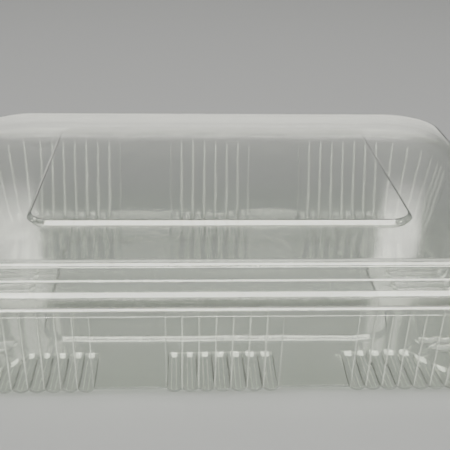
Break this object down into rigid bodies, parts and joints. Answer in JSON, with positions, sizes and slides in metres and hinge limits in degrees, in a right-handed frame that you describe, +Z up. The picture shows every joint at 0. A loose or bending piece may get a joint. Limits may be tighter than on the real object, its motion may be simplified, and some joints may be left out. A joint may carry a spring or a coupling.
{
  "type": "plastic clamshell pack",
  "caption": "Clear plastic clamshell pack: a fluted rectangular tray with a stepped rim and a shallow lid that folds open along the back.",
  "frame": {"origin": "under the middle of the pack, on the plane it stands on", "axes": "+X along the long side, +Y towards the hinge at the back, +Z up"},
  "size_m": [0.21, 0.17, 0.0491],
  "materials": {
    "tray_sheet": "clear gloss, thermoformed",
    "lid_sheet": "clear gloss, thermoformed"
  },
  "bodies": {
    "tray": {"tray": "tray_sheet"},
    "lid": {"lid": "lid_sheet"}
  },
  "joints": [
    {"name": "lid_hinge", "type": "hinge", "parent": "tray", "child": "lid", "pos_m": [0, 0.08515, 0.03695], "axis": [-1, 0, 0], "range_deg": [0, 180]}
  ]
}
